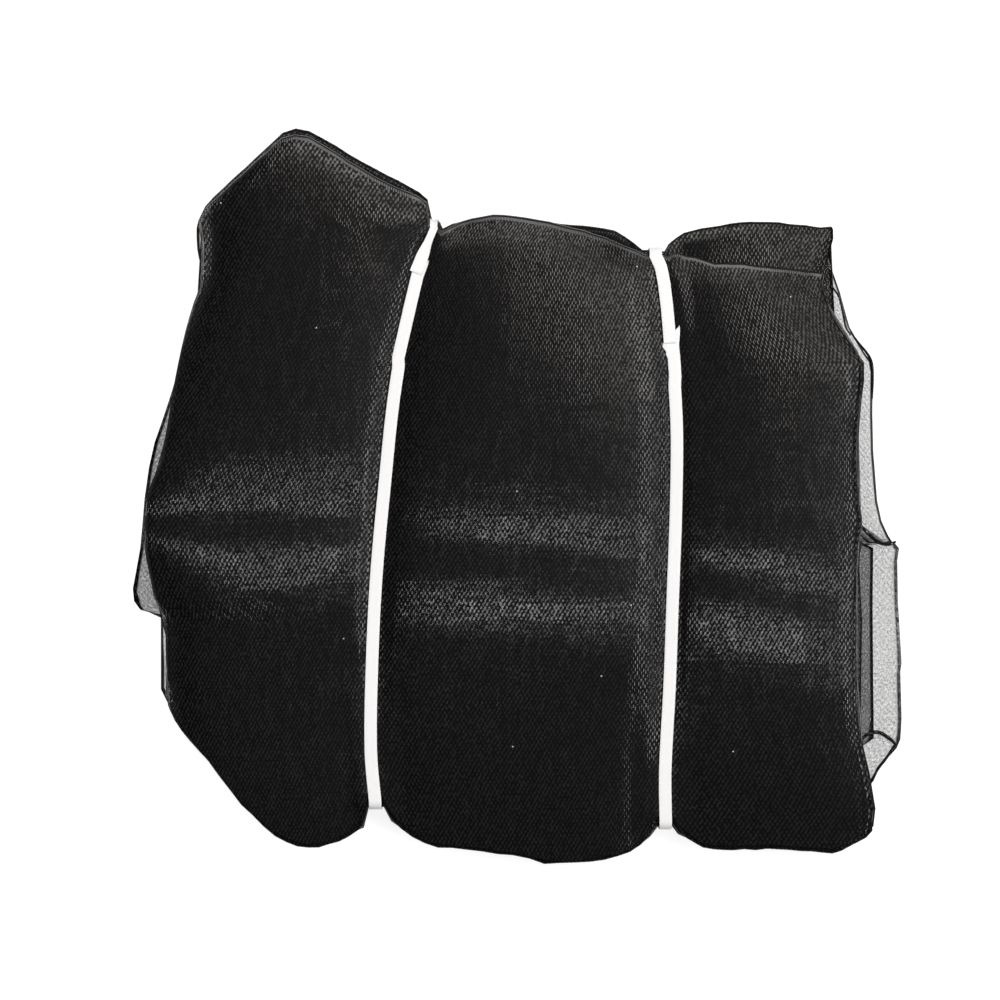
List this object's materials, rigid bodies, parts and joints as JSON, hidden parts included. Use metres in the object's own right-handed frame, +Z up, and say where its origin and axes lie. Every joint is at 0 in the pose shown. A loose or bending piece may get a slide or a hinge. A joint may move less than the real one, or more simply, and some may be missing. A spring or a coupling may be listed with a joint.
{
  "type": "olive harvest net, folded and strapped",
  "caption": "Fine black mesh net for catching olives, folded back and forth into a flat bundle with white straps, lying flat.",
  "frame": {"origin": "centre of the bundle's box, on the surface it lies on", "axes": "+X across the bundle, towards the side with the widest loose flap; +Y along the leaves, towards the end where the straps lap; +Z up"},
  "size_m": [0.6122, 0.583, 0.0434],
  "materials": {
    "mesh": "semi-gloss black knitted polyethylene mesh",
    "strap": "satin white polypropylene strapping"
  },
  "bodies": {
    "root": {"net": "mesh", "tie_left": "strap", "tie_right": "strap"}
  },
  "joints": []
}
